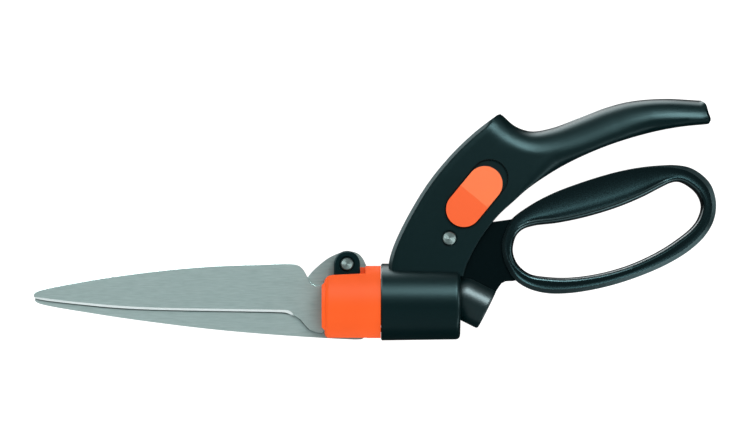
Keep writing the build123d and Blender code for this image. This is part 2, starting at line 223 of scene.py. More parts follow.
def tidy(made):
    """Welds a mesh, drops faces without area, closes slits and turns all faces outwards."""
    shape = bmesh.new()
    shape.from_mesh(made.data)
    bmesh.ops.remove_doubles(shape, verts=shape.verts, dist=WELD * MM)
    bmesh.ops.dissolve_degenerate(shape, edges=shape.edges, dist=FLAT_EDGE * MM)
    slits = [edge for edge in shape.edges if edge.is_boundary]
    bmesh.ops.holes_fill(shape, edges=slits, sides=SLIT_EDGES)
    bmesh.ops.recalc_face_normals(shape, faces=shape.faces)
    shape.to_mesh(made.data)
    shape.free()


def tube(loops, caps=True):
    """Faces round a row of closed loops (stations, points, 3), with flat ends."""
    stations, count = loops.shape[:2]
    index = np.arange(stations * count).reshape(stations, count)
    nxt = np.roll(index, -1, axis=1)
    faces = np.stack([index[:-1], nxt[:-1], nxt[1:], index[1:]], axis=2).reshape(-1, 4).tolist()
    if caps:
        faces += [index[0].tolist(), index[-1].tolist()]
    return loops.reshape(-1, 3), faces


def prism(name, outline, low, high):
    """A flat plate with that outline, between two heights."""
    ring = np.asarray(outline, float)
    loops = np.stack([np.column_stack([ring, np.full(len(ring), z)]) for z in (low, high)])
    return mesh_object(name, *tube(loops))


def inset_edges(ring, below, above):
    """A closed outline, given clockwise, moved inwards where it faces down and where it faces up."""
    ahead = np.roll(ring, -1, axis=0) - np.roll(ring, 1, axis=0)
    ahead = ahead / np.linalg.norm(ahead, axis=1)[:, None]
    inwards = np.column_stack([ahead[:, 1], -ahead[:, 0]])
    faces_down = np.clip(inwards[:, 1:], 0, 1)
    faces_up = np.clip(-inwards[:, 1:], 0, 1)
    return ring + (below * faces_down + above * faces_up) * inwards


def stadium_outline(a, b, radius, count=20):
    turn = math.atan2(b[1] - a[1], b[0] - a[0])
    points = []
    for centre, start in ((b, turn - math.pi / 2), (a, turn + math.pi / 2)):
        for angle in np.linspace(start, start + math.pi, count):
            points.append((centre[0] + radius * math.cos(angle), centre[1] + radius * math.sin(angle)))
    return points


def disc_outline(centre, radius, count=64):
    angles = np.linspace(0, 2 * math.pi, count, endpoint=False)
    return np.column_stack([centre[0] + radius * np.cos(angles), centre[1] + radius * np.sin(angles)])


def lathe(name, profile, start=(0.0, 0.0), turn=0.0, count=128):
    """A solid turned about a line in the tool's plane, from (distance along it, radius) points."""
    profile = np.asarray(profile, float)
    angles = np.linspace(0, 2 * math.pi, count, endpoint=False)
    along = profile[:, :1] * np.ones(count)
    side = profile[:, 1:] * np.cos(angles)
    depth = profile[:, 1:] * np.sin(angles)
    x = start[0] + along * math.cos(turn) - side * math.sin(turn)
    y = start[1] + along * math.sin(turn) + side * math.cos(turn)
    return mesh_object(name, *tube(np.stack([x, y, depth], axis=2)))


def combine(base, others, how):
    """base joined with or cut by the others, which are used up."""
    for other in others:
        step = base.modifiers.new("step", "BOOLEAN")
        step.operation = how
        step.solver = "EXACT"
        step.object = other
        bpy.context.view_layer.update()
        shaped = base.evaluated_get(bpy.context.evaluated_depsgraph_get())
        result = bpy.data.meshes.new_from_object(shaped)
        base.modifiers.clear()
        old = base.data
        base.data = result
        bpy.data.meshes.remove(old)
        bpy.data.objects.remove(other)
    tidy(base)
    return base


def shade(made, angle=SHARP_ANGLE):
    """Smooth shading, broken at edges sharper than the angle."""
    shape = bmesh.new()
    shape.from_mesh(made.data)
    for face in shape.faces:
        face.smooth = True
    for edge in shape.edges:
        edge.smooth = edge.calc_face_angle(0.0) < angle
    shape.to_mesh(made.data)
    shape.free()
    return made


# Materials

# The middle of what a noise texture gives, which is stretched over the whole of a setting
NOISE_MIDDLE = (0.3, 0.7)


def set_range(node, *limits):
    """Sets what a map range node goes from, low and high, and what it goes to."""
    for socket, limit in zip(("From Min", "From Max", "To Min", "To Max"), limits):
        node.inputs[socket].default_value = limit
    return node


class Shader:
    """A material with a principled surface, and short names for the nodes it is made of."""

    def __init__(self, name, colour, roughness, metallic=0.0):
        self.material = bpy.data.materials.new(name)
        self.material.use_nodes = True
        self.tree = self.material.node_tree
        self.surface = self.tree.nodes["Principled BSDF"]
        self.put("Base Color", (*colour, 1))
        self.put("Roughness", roughness)
        self.put("Metallic", metallic)

    def put(self, socket, value):
        self.surface.inputs[socket].default_value = value

    def node(self, kind, **settings):
        made = self.tree.nodes.new(kind)
        for key, value in settings.items():
            if key in made.inputs:
                made.inputs[key].default_value = value
            else:
                setattr(made, key, value)
        return made

    def link(self, source, target):
        self.tree.links.new(source, target)

    def coordinates(self, scale=(1, 1, 1)):
        """Object coordinates, so that the detail stays on a piece that moves."""
        place = self.node("ShaderNodeTexCoord")
        sized = self.node("ShaderNodeMapping")
        sized.inputs["Scale"].default_value = scale
        self.link(place.outputs["Object"], sized.inputs["Vector"])
        return sized.outputs["Vector"]

    def noise(self, scale, detail=3.0, stretch=(1, 1, 1)):
        made = self.node("ShaderNodeTexNoise", Scale=scale, Detail=detail)
        self.link(self.coordinates(stretch), made.inputs["Vector"])
        return made.outputs["Fac"]

    def spread(self, factor, low, high):
        """The factor's middle stretched over low to high."""
        made = set_range(self.node("ShaderNodeMapRange"), *NOISE_MIDDLE, low, high)
        self.link(factor, made.inputs["Value"])
        return made.outputs["Result"]

    def colours(self, factor, low, high):
        """A base colour between two, by the factor's middle."""
        made = self.node("ShaderNodeValToRGB")
        for stop, place, colour in zip(made.color_ramp.elements, NOISE_MIDDLE, (low, high)):
            stop.position = place
            stop.color = (*colour, 1)
        self.link(factor, made.inputs["Fac"])
        self.link(made.outputs["Color"], self.surface.inputs["Base Color"])

    def rough(self, factor, low, high):
        self.link(self.spread(factor, low, high), self.surface.inputs["Roughness"])

    def along_x(self, start, end, share):
        """A factor that goes from 1 to a share of 1 between two places along X."""
        split = self.node("ShaderNodeSeparateXYZ")
        self.link(self.coordinates(), split.inputs["Vector"])
        fade = self.node("ShaderNodeMapRange", interpolation_type="SMOOTHSTEP")
        set_range(fade, start, end, 1.0, share)
        self.link(split.outputs["X"], fade.inputs["Value"])
        return fade.outputs["Result"]

    def scale_socket(self, socket, kind, factor):
        """Multiplies what feeds a socket by a factor."""
        scaled = self.node(kind, operation="MULTIPLY")
        target = self.surface.inputs[socket]
        self.link(target.links[0].from_socket, scaled.inputs[0])
        self.link(factor, scaled.inputs[1])
        self.link(scaled.outputs[0], target)

    def polish(self, start, end, share):
        """More or less roughness along X, up to a share of it."""
        self.scale_socket("Roughness", "ShaderNodeMath", self.along_x(start, end, share))

    def darken(self, start, end, share):
        """A darker colour along X, down to a share of it."""
        self.scale_socket("Base Color", "ShaderNodeVectorMath", self.along_x(start, end, share))

    def bump(self, factor, depth, strength=1.0):
        made = self.node("ShaderNodeBump", Strength=strength, Distance=depth * MM)
        self.link(factor, made.inputs["Height"])
        previous = self.surface.inputs["Normal"]
        if previous.is_linked:
            self.link(previous.links[0].from_socket, made.inputs["Normal"])
        self.link(made.outputs["Normal"], self.surface.inputs["Normal"])


def moulded(name, colour, shade_colour, roughness, gloss, tint=(1, 1, 1), grain=0.004, ior=1.5):
    """Satin moulding: a fine spark-eroded grain, slow waviness and slightly uneven gloss."""
    made = Shader(name, colour, roughness)
    made.colours(made.noise(35, 4), shade_colour, colour)
    made.rough(made.noise(1400, 3), roughness - 0.025, roughness + 0.03)
    made.bump(made.noise(2600, 2), grain)
    made.bump(made.noise(60, 2), 0.012, 0.5)
    made.put("Specular IOR Level", gloss)
    made.put("Specular Tint", (*tint, 1))
    made.put("IOR", ior)
    return made


def moulded_plastic(*settings, **more):
    return moulded(*settings, **more).material


def gripped_plastic(*settings, **more):
    """Moulding that is rougher from the start of the grip on, and worn smoother further back."""
    made = moulded(*settings, **more)
    for start, length, share in (GRIP_ROUGH, GRIP_WORN):
        made.polish(start, start + length, share)
    return made.material


def shaded_ridge_button(*settings):
    """The lock's button, with painted shade on the lower side of the ridge across its middle, the side that faces
    away from the light.
    """
    ridge_half = 0.3
    ridge_shade_share = 0.74
    made = moulded(*settings, grain=0.002)
    place = made.node("ShaderNodeTexCoord")
    along = made.node("ShaderNodeVectorMath", operation="DOT_PRODUCT")
    along.inputs[1].default_value = (*BUTTON_ALONG, 0)
    made.link(place.outputs["Generated"], along.inputs[0])
    middle = sum(BUTTON_ALONG) / 2
    # Painted shade: the base colour is darker on the side of the ridge that faces away from the light
    side = made.node("ShaderNodeMapRange")
    set_range(side, middle - ridge_half, middle + ridge_half, ridge_shade_share, 1.0)
    made.link(along.outputs["Value"], side.inputs["Value"])
    factor = made.node("ShaderNodeCombineXYZ", X=1.0)
    for axis in "YZ":
        made.link(side.outputs["Result"], factor.inputs[axis])
    made.scale_socket("Base Color", "ShaderNodeVectorMath", factor.outputs["Vector"])
    return made.material


def ground_steel(name, light, dark, roughness, metallic=1.0, root_shade=None):
    """Rolled and ground steel with fine lengthwise grain; if asked, slightly darker from the tip on and darker
    towards the collar, as painted shade.
    """
    made = Shader(name, light, roughness, metallic)
    made.colours(made.noise(1, 5, stretch=(170, 1700, 1700)), dark, light)
    if root_shade:
        made.darken(TIP_START, TIP_END, TIP_SHARE)
        # Painted shade: the steel darkens towards the collar, which shades it
        made.darken(ROOT_SHADE_START, ROOT_SHADE_END, root_shade)
    made.rough(made.noise(1, 5, stretch=(70, 3600, 3600)), roughness - 0.03, roughness + 0.04)
    made.bump(made.noise(1, 4, stretch=(80, 5200, 5200)), 0.0012)
    made.put("Anisotropic", 0.3)
    along = made.node("ShaderNodeTangent", direction_type="RADIAL", axis="Y")
    made.link(along.outputs["Tangent"], made.surface.inputs["Tangent"])
    return made.material


def turned_steel(name, colour, roughness):
    """Steel faced on a lathe: fine rings about the middle of the piece."""
    made = Shader(name, colour, roughness, metallic=1.0)
    made.rough(made.noise(1400, 2), roughness - 0.05, roughness + 0.06)
    made.bump(made.noise(4000, 2), 0.002)
    made.put("Anisotropic", 0.6)
    tangent = made.node("ShaderNodeTangent", direction_type="RADIAL", axis="Z")
    made.link(tangent.outputs["Tangent"], made.surface.inputs["Tangent"])
    return made.material


# The black moulding's colours, each as a lighter and a darker one, and the tints of its highlights
DARK = ((0.0003, 0.0064, 0.0072), (0.0002, 0.0056, 0.0063))
DEEP = ((0.0003, 0.0017, 0.0022), (0.0002, 0.0012, 0.0016))
KNEE_DARK = ((0.0002, 0.0085, 0.0095), (0.0002, 0.0072, 0.0082))
TEAL = (0.42, 0.92, 1.0)
PALE = (0.53, 0.92, 0.97)
GREY = (0.56, 0.72, 0.75)

# Colour pairs of the other plastics and metals
BRIGHT_ORANGE = ((0.94, 0.114, 0.015), (0.88, 0.101, 0.012))
BUTTON_ORANGE = ((0.90, 0.150, 0.017), (0.87, 0.142, 0.015))
WHITES = ((0.70, 0.70, 0.66), (0.62, 0.62, 0.58))
MOVING_STEEL = ((0.42, 0.55, 0.54), (0.342, 0.467, 0.456))
FIXED_STEEL = ((0.435, 0.57, 0.56), (0.357, 0.487, 0.477))
# A lighter grind, brightened as a painted highlight: pale, mostly non-metallic steel for the bevel's flat part
BEVEL_GRIND_HIGHLIGHT_STEEL = ((0.70, 0.79, 0.79), (0.64, 0.73, 0.73))
# Painted shadow: dark steel for the moving blade's steep faces along its edge, a line that stands in for the
# shadow it casts on the fixed blade
SHADOW_LINE_STEEL = ((0.10, 0.13, 0.13), (0.08, 0.105, 0.105))
WIRE_STEEL = ((0.36, 0.37, 0.38), (0.28, 0.29, 0.30))
BRONZES = ((0.60, 0.40, 0.20), (0.50, 0.32, 0.15))

# Plastics: roughness, specular level and tint. Metals: roughness.
BLACK = moulded_plastic("black_plastic", *DARK, 0.32, 0.15, TEAL)
HANDLE = gripped_plastic("black_plastic_handle", *DARK, 0.33, 0.163, PALE)
GLOSSY = moulded_plastic("black_plastic_smooth", *DEEP, 0.27, 0.22, TEAL, grain=0.0002)
# Painted highlight: a shinier copy of the lever's plastic for the loop's faces that lean towards the lights
LOOP_RIM_HIGHLIGHT = moulded_plastic("black_plastic_rim_highlight", *DEEP, 0.31, 0.62, PALE, grain=0.0002, ior=1.7)
KNEE = moulded_plastic("black_plastic_knee", *KNEE_DARK, 0.33, 0.46, GREY, grain=0.001)
# Painted shade: the web between the cheeks gets a dull copy of the lever's plastic with little shine
SHADED_WEB = moulded_plastic("black_plastic_web_shaded", *DEEP, 0.30, 0.08, TEAL, grain=0.002)
ORANGE = moulded_plastic("orange_plastic", *BRIGHT_ORANGE, 0.55, 0.11, grain=0.003)
BUTTON = shaded_ridge_button("orange_button", *BUTTON_ORANGE, 0.40, 0.34)
WHITE = moulded_plastic("white_plastic", *WHITES, 0.45, 0.3)
# Both blades get painted shade towards the collar, most on the fixed blade's lobe beside the ear
STEEL = ground_steel("blade_steel", *MOVING_STEEL, 0.31, metallic=0.6, root_shade=0.92)
LOBE_STEEL = ground_steel("blade_steel_fixed", *FIXED_STEEL, 0.31, metallic=0.6, root_shade=0.74)
# The bevel's lighter grind, made brighter as a painted highlight
BEVEL_GRIND_HIGHLIGHT = ground_steel("blade_bevel_grind_highlight", *BEVEL_GRIND_HIGHLIGHT_STEEL, 0.38, metallic=0.2)
# Painted shadow line along the moving blade's edge
SHADOW_LINE = ground_steel("blade_shadow_line", *SHADOW_LINE_STEEL, 0.36, metallic=0.8)
TURNED = turned_steel("turned_steel", (0.18, 0.245, 0.24), 0.34)
SPRING = ground_steel("spring_steel", *WIRE_STEEL, 0.34)
BRONZE = ground_steel("bronze", *BRONZES, 0.40)

CAD_FINISH = {
    "black_plastic": BLACK,
    "orange_plastic": ORANGE,
    "white_plastic": WHITE,
    "blade_steel": STEEL,
    "pin_steel": TURNED,
    "spring_steel": SPRING,
    "bronze": BRONZE,
}


def finish_cad_nodes():
    slots = {part["node"]: part["material_slot"] for part in frame["record"]["subparts"]}
    for name, node in frame["nodes"].items():
        node.data.materials.clear()
        is_button = name.startswith("lock_button")
        node.data.materials.append(BUTTON if is_button else CAD_FINISH[slots[name]])


def settle(made, material, body, node, angle=SHARP_ANGLE):
    """Gives a finished piece its shading, its material and its body, and hides the CAD node that it stands for."""
    shade(made, angle)
    made.data.materials.clear()
    for one in material if isinstance(material, list) else [material]:
        made.data.materials.append(one)
    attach(made, body)
    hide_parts(node)
    return made


# The handle

FRONT_EDGE = [
    (3.6, 13.5), (4.4, 22.0), (9.0, 34.6), (22.4, 58.5), (34.7, 74.2), (47.1, 86.4), (59.0, 95.6),
    (60.4, 96.5), (61.3, 96.7),
]
TOP_EDGE = [
    (61.3, 96.7), (62.5, 95.95), (63.6, 95.0), (67.7, 91.3), (71.8, 89.1), (78.0, 87.75), (88.3, 89.6),
    (100.6, 94.15), (117.1, 100.4), (129.4, 103.3), (145.9, 104.5), (164.4, 103.6),
]
GRIP_END = [(164.4, 103.6), (166.6, 101.8), (168.0, 97.5), (169.2, 93.6), (168.2, 91.6)]
LOWER_EDGE = [
    (42.2, 13.5), (44.0, 19.3), (50.0, 31.1), (56.2, 39.9), (61.3, 45.7), (67.7, 51.5), (75.9, 58.7),
    (92.4, 69.4), (108.9, 77.4), (125.3, 83.4), (141.8, 87.9), (155.0, 90.3), (168.2, 91.6),
]
THROAT = (74.0, 57.1)

# The size of the grip's rounded back, against the share of the top edge
TOP_ALONG = [0.0, 0.10, 0.24, 0.38, 0.57, 0.76, 1.0]
TOP_SCALE = [0.88, 0.86, 1.02, 1.12, 1.1, 0.92, 0.9]
BACK_TIGHT = 9.6
BACK_SLACK = 8.6
BACK_TURN = math.radians(34)

# The bevel along the front edge: how wide it is and how deep
CHAMFER = 2.1
CHAMFER_DEPTH = 2.25

# The lower edge: where along it the flat cheek starts to turn into the round grip and over what
# share of it, and the cheek's and the grip's rounding there
GRIP_FROM = 0.28
GRIP_OVER = 0.25
CHEEK_ROUNDING = 1.0
CHEEK_EDGE_HALF = 10.3
GRIP_ROUNDING = (4.0, 8.5)
GRIP_ROUNDING_DEPTH = 1.15

# The grip's end: its rounding, half its thickness there, and half the least thickness anywhere
END_ROUNDING = 2.2
END_HALF = 8.2
THINNEST_HALF = 0.9

# The barrel's bevel in front, its rounding at the rear, and the flat bit left before each
BARREL_BEVEL = 0.6
BARREL_ROUNDING = 2.3
BARREL_FLAT = 0.4


def split_curve(points, corner, before, after):
    """One smooth curve, with before samples up to the corner and after samples from it."""
    fine = 1200
    whole = curve(points, fine)
    at = np.linalg.norm(whole - np.array(corner), axis=1).argmin()
    first = whole[np.linspace(0, at, before).round().astype(int)]
    second = whole[np.linspace(at, len(whole) - 1, after).round().astype(int)]
    return np.vstack([first, second[1:]])


def back_drop(distance, scale):
    """How far the grip's back lies below its crest: a tight curve at its edge, then a slack one."""
    tight, slack = BACK_TIGHT * scale, BACK_SLACK * scale
    edge = tight * (1 - math.sin(BACK_TURN))
    inside = np.clip(1 - (distance - edge) / slack, 0, 1)
    lean = np.clip((edge - distance) / tight + math.sin(BACK_TURN), math.sin(BACK_TURN), 1)
    drop = tight * (math.cos(BACK_TURN) - np.sqrt(1 - lean**2))
    return drop + math.tan(BACK_TURN) * slack / 2 * inside**2


def handle_heights(flat, width):
    """Half the thickness at points of the handle, from their distances to its edges."""
    front = curve(FRONT_EDGE, 300)
    top = curve(TOP_EDGE, 400)
    end = curve(GRIP_END, 60)
    lower = curve(LOWER_EDGE, 400)
    gap, _ = away(flat, front)
    height = np.minimum(CHEEK_HALF, CHEEK_HALF - CHAMFER_DEPTH * (1 - np.clip(gap / CHAMFER, 0, 1)))
    gap, along = away(flat, top)
    scale = np.interp(along, TOP_ALONG, TOP_SCALE)
    height = np.minimum(height, CHEEK_HALF - back_drop(gap, scale))
    crest = scale * (BACK_TIGHT * (1 - math.sin(BACK_TURN)) + BACK_SLACK)
    gap, along = away(flat, lower)
    share = smooth((along - GRIP_FROM) / GRIP_OVER)
    reach = mix(CHEEK_ROUNDING, np.clip(width - crest, *GRIP_ROUNDING), share)
    edge = mix(CHEEK_EDGE_HALF, CHEEK_HALF - GRIP_ROUNDING_DEPTH * reach, share)
    height = np.minimum(height, rounding(gap, reach, edge, CHEEK_HALF))
    gap, _ = away(flat, end)
    height = np.minimum(height, rounding(gap, END_ROUNDING, END_HALF, CHEEK_HALF))
    return np.maximum(height, THINNEST_HALF)


def handle_body():
    """Cheeks and upper grip: one sheet between the top and lower outlines, on both sides."""
    front_count, grip_count, bend, wall_rows, end_count = 64, 110, 8, 5, 400
    top = np.vstack([curve(FRONT_EDGE, front_count), curve(TOP_EDGE, grip_count)[1:]])
    low = split_curve(LOWER_EDGE, THROAT, front_count, grip_count)
    stations = len(top)
    width = np.linalg.norm(top - low, axis=1)
    station = np.arange(stations)
    # How far in from each edge the narrow rows of faces reach: on the cheek first, then on the grip
    top_reach = mix(2.4, 13.0, smooth((station - front_count + 6) / 10))
    top_reach = np.minimum(top_reach, 0.5 * width)
    low_reach = mix(1.6, 9.0, smooth((station - front_count + 10) / 30))
    low_reach = np.minimum(low_reach, 0.46 * width)
    steps = 1 - np.cos(np.linspace(0, math.pi / 2, 9))
    rows = []
    for i in range(stations):
        from_low = low_reach[i] * steps
        from_top = width[i] - top_reach[i] * steps[::-1]
        middle = np.linspace(from_low[-1], from_top[0], 14)[1:-1]
        rows.append(np.concatenate([from_low, middle, from_top]) / width[i])
    share = np.array(rows)[..., None]
    flat = low[:, None] + (top - low)[:, None] * share
    end = curve(GRIP_END[::-1], end_count)
    along_end = np.linspace(0, 1, end_count)
    pull = np.column_stack([np.interp(share[-1, :, 0], along_end, end[:, k]) for k in range(2)])
    # The last stations bend more and more, until the very last has the end's outline
    bulge = pull - flat[-1]
    for i in range(bend):
        flat[stations - bend + i] += bulge * ((i + 1) / bend) ** 2
    count = flat.shape[1]
    each_width = np.repeat(width, count)
    height = handle_heights(flat.reshape(-1, 2), each_width).reshape(stations, count)
    front = np.dstack([flat, height])
    back = np.dstack([flat, -height])[:, ::-1]
    levels = np.linspace(1, -1, wall_rows)[1:-1]
    top_wall = np.stack([np.dstack([flat[:, -1:], height[:, -1:] * k]) for k in levels], axis=1)[:, :, 0]
    low_wall = np.stack([np.dstack([flat[:, :1], -height[:, :1] * k]) for k in levels], axis=1)[:, :, 0]
    loops = np.concatenate([front, top_wall, back, low_wall], axis=1)
    return mesh_object("handle_moulding", *tube(loops))


def barrel():
    """The barrel's outside as a solid, with its rounded rear rim."""
    rim = BARREL_ROUNDING
    turn = np.linspace(0, math.pi / 2, 8)
    rear = [
        (BARREL_LENGTH - rim + rim * math.sin(a), BARREL_REAR_RADIUS - rim + rim * math.cos(a)) for a in turn
    ]
    face = [
        (0.0, ON_AXIS),
        (0.0, BARREL_RADIUS - BARREL_BEVEL),
        (BARREL_BEVEL, BARREL_RADIUS),
        (BARREL_BEVEL + BARREL_FLAT, BARREL_RADIUS),
    ]
    straight_end = [(BARREL_LENGTH - rim - BARREL_FLAT, BARREL_REAR_RADIUS)]
    return lathe("barrel", face + straight_end + rear + [(BARREL_LENGTH, ON_AXIS)])


def rod_cutter(radius, start, end):
    """A round cutter along the barrel's axis."""
    return lathe("cutter", [(start, ON_AXIS), (start, radius), (end, radius), (end, ON_AXIS)], count=96)


def lever_space():
    """What the lever's web needs between the cheeks."""
    outline = [
        (22, 5), (50, 5), (62, 15), (70, 40), (62, 52.5), (55, 63.5), (44, 62.5), (33, 52), (25, 36),
        (22, 20),
    ]
    return prism("cutter", outline, -LEVER_SPACE_HALF, LEVER_SPACE_HALF)


def on_both_sides(outline, low, high):
    """The same plate-shaped cutter on the left and the right of the tool."""
    return [prism("cutter", outline, low, high), prism("cutter", outline, -high, -low)]


def bed_rim(a, b, radius):
    """A flared cutter that breaks the lock bed's rim on the left of the tool, and one on the right."""
    inside = (CHEEK_HALF - 2 * RIM_BREAK, radius - RIM_BREAK)
    outside = (CHEEK_HALF + RIM_BREAK, radius + 2 * RIM_BREAK)
    made = []
    for side in (1, -1):
        loops = []
        for height, reach in (inside, outside):
            outline = stadium_outline(a, b, reach)
            loops.append(np.column_stack([outline, np.full(len(outline), side * height)]))
        made.append(mesh_object("cutter", *tube(np.stack(loops))))
    return made


def lock_cutters():
    """The bed that each lock button slides in, and the slot through its floor for the bar."""
    high = (LOCK_HIGH[0] + LOCK_STEP[0], LOCK_HIGH[1] + LOCK_STEP[1])
    middle = ((LOCK_LOW[0] + LOCK_HIGH[0]) / 2, (LOCK_LOW[1] + LOCK_HIGH[1]) / 2)
    moved = (middle[0] + LOCK_STEP[0], middle[1] + LOCK_STEP[1])
    bed_radius = LOCK_RADIUS + LOCK_BED_CLEARANCE
    bed = stadium_outline(LOCK_LOW, high, bed_radius)
    slot = stadium_outline(middle, moved, LOCK_SLOT_RADIUS, 10)
    cutters = on_both_sides(bed, CHEEK_HALF - LOCK_BED_DEPTH, CHEEK_HALF + 2 * PAST)
    cutters += on_both_sides(slot, LOCK_SLOT_BOTTOM, CHEEK_HALF)
    return cutters + bed_rim(LOCK_LOW, high, bed_radius)


def make_handle():
    handle = combine(handle_body(), [barrel()], "UNION")
    cutters = [
        rod_cutter(BORE_RADIUS, FRONT_WALL, BARREL_LENGTH + 6 * PAST),
        rod_cutter(JOURNAL_HOLE, -PAST, FRONT_WALL + PAST),
        lever_space(),
        prism("cutter", disc_outline(RIVET, RIVET_HOLE), -CHEEK_HALF - PAST, CHEEK_HALF + PAST),
    ]
    recess = disc_outline(RIVET, RIVET_RECESS)
    cutters += on_both_sides(recess, CHEEK_HALF - RIVET_RECESS_DEPTH, CHEEK_HALF + 2 * PAST)
    cutters += lock_cutters()
    combine(handle, cutters, "DIFFERENCE")
    return settle(handle, HANDLE, "handle", "main_handle")


# The squeeze lever

# Pairs of an outer and an inner point round the finger loop, with the width of the outer bevel
# and the depth of the dished face between them.
LOOP = [
    ((62.0, 29.0), (67.7, 27.5), 1.6, 0.0),
    ((63.6, 35.8), (69.2, 33.6), 1.4, 0.05),
    ((67.1, 42.3), (72.6, 37.2), 0.9, 0.25),
    ((75.9, 49.1), (79.0, 39.3), 0.6, 0.8),
    ((88.3, 55.8), (90.0, 40.6), 0.5, 1.3),
    ((104.7, 62.0), (104.7, 43.6), 0.5, 1.55),
    ((121.2, 66.9), (121.2, 48.6), 0.5, 1.55),
    ((133.0, 69.2), (134.0, 53.9), 0.6, 1.25),
    ((143.0, 70.2), (143.5, 58.8), 0.9, 0.6),
    ((151.0, 70.4), (149.0, 61.3), 1.6, 0.1),
    ((158.3, 69.15), (153.5, 61.7), 2.2, 0.0),
    ((164.5, 65.6), (158.0, 59.6), 2.5, 0.0),
    ((169.5, 60.0), (162.5, 55.5), 2.5, 0.0),
    ((172.0, 51.0), (164.8, 49.4), 2.3, 0.0),
    ((170.8, 42.0), (163.2, 43.0), 2.2, 0.0),
    ((166.5, 34.3), (159.6, 38.0), 2.2, 0.0),
    ((158.3, 26.5), (152.5, 32.2), 2.2, 0.0),
    ((145.9, 19.0), (141.8, 25.4), 2.2, 0.0),
    ((129.4, 12.1), (127.0, 18.7), 2.2, 0.0),
    ((113.0, 7.3), (111.5, 14.4), 2.2, 0.0),
    ((96.5, 4.6), (96.5, 12.5), 2.3, 0.0),
    ((84.2, 4.7), (85.0, 12.9), 2.3, 0.0),
    ((75.0, 7.3), (77.0, 14.3), 2.2, 0.0),
    ((68.5, 12.0), (72.0, 17.5), 2.0, 0.0),
    ((63.8, 20.0), (68.8, 22.0), 1.8, 0.0),
]
LOOP_MIDDLE = (118.0, 37.0)
LOOP_START = 61.0

# The rounding towards the fingers, and half the thickness at the opening
RIM = 2.1
OPENING_HALF = 5.2

# The step from the rounding down into the dish, how wide it is, how soon it fades across the face
# and the depth of dish at which it has its full height
STEP = 0.55
STEP_WIDTH = 0.9
STEP_FADE = 0.22
STEP_FULL_DISH = 0.7
LEAST_DISH = 0.02

# Where across the face the dish is deepest, how hollow the faces without a dish are, and the most
# that the outer bevel goes down
DISH_MIDDLE = 0.68
HOLLOW = 0.22
BEVEL_MOST = 2.4


def finger_loop():
    """The ring: rounded towards the fingers, dished on its faces, with a ridge and an outer bevel."""
    table = np.array([(*outer, *inner, bevel, dish) for outer, inner, bevel, dish in LOOP])
    stations, wall_rows = 240, 5
    line = curve(table, stations, closed=True, even=False)
    outer, inner, bevel, dish = line[:, :2], line[:, 2:4], line[:, 4], np.maximum(line[:, 5], 0)
    width = np.linalg.norm(outer - inner, axis=1)
    near = 1 - np.cos(np.linspace(0, math.pi / 2, 8))
    rows = []
    for w, b in zip(width, bevel):
        face = np.linspace(RIM + 1.1, w - b, 14)
        rows.append(np.concatenate([near * RIM, [RIM + 0.35, RIM + 0.75], face, [w - b / 2, w]]))
    reach = np.array(rows)
    flat = inner[:, None] + (outer - inner)[:, None] * (reach / width[:, None])[..., None]
    height = rounding(reach, RIM, OPENING_HALF, LOOP_HALF)
    width, bevel, dish = width[:, None], bevel[:, None], dish[:, None]
    middle = np.clip((reach - RIM) / (width - bevel - RIM), 0, 1)
    bowl = 1 - ((middle - DISH_MIDDLE) / DISH_MIDDLE) ** 2
    full = np.clip(dish / STEP_FULL_DISH, 0, 1)
    step = STEP * (dish > LEAST_DISH) * smooth((reach - RIM) / STEP_WIDTH) * full
    hollow = HOLLOW * np.sin(math.pi * middle) * (1 - np.clip(dish, 0, 1))
    height = height - dish * bowl * (middle > 0) - hollow
    height = height - step * (1 - smooth(middle / STEP_FADE)) * (middle > 0)
    past = np.clip((reach - (width - bevel)) / bevel, 0, 1)
    height = height - past * np.clip(bevel, 0, BEVEL_MOST)
    front = np.dstack([flat, height])
    back = np.dstack([flat, -height])[:, ::-1]
    levels = np.linspace(1, -1, wall_rows)[1:-1]
    outer_wall = np.stack([np.column_stack([flat[:, -1], height[:, -1] * k]) for k in levels], axis=1)
    inner_wall = np.stack([np.column_stack([flat[:, 0], -height[:, 0] * k]) for k in levels], axis=1)
    loops = np.concatenate([front, outer_wall, back, inner_wall], axis=1)
    loops = np.concatenate([loops, loops[:1]], axis=0)
    return mesh_object("lever_moulding", *tube(loops, caps=False))


def lever_web():
    """The flat part between the cheeks, which joins the loop, the horn below the lock and the knee."""
    rear = [
        (60.3, 7.4), (61.8, 9.6), (64.0, 10.7), (67.5, 10.8), (70.0, 11.3), (66.5, 17), (65.0, 27),
        (66.5, 36),
    ]
    upper = [
        (68.5, 43.0), (66.7, 42.5), (58.0, 41.3), (50.0, 42.0), (46.4, 50.9), (43.0, 52.6), (39.4, 53.8),
    ]
    front = [(33.0, 42.0), (27.0, 34.0), (28.5, 28.0), (33.5, 8.0), (46.0, 0.0), (58.0, 4.0)]
    return prism("web", rear + upper + front, -LEVER_HALF, LEVER_HALF)


def knee():
    """The round knee in the barrel: a short rod with a rounded rim and a half ball for its end."""
    rim = 1.2
    flat = 0.4
    corner = [
        (rim - rim * math.cos(a), KNEE_RADIUS - rim + rim * math.sin(a))
        for a in np.linspace(0, math.pi / 2, 6)
    ]
    dome = [
        (KNEE_STRAIGHT + KNEE_RADIUS * math.sin(a), max(KNEE_RADIUS * math.cos(a), ON_AXIS))
        for a in np.linspace(0, math.pi / 2, 20)
    ]
    straight = [(rim + flat, KNEE_RADIUS), (KNEE_STRAIGHT - flat, KNEE_RADIUS)]
    profile = [(0, ON_AXIS), *corner, *straight, *dome]
    return lathe("knee", profile, KNEE_END, KNEE_TILT + math.pi, 112)


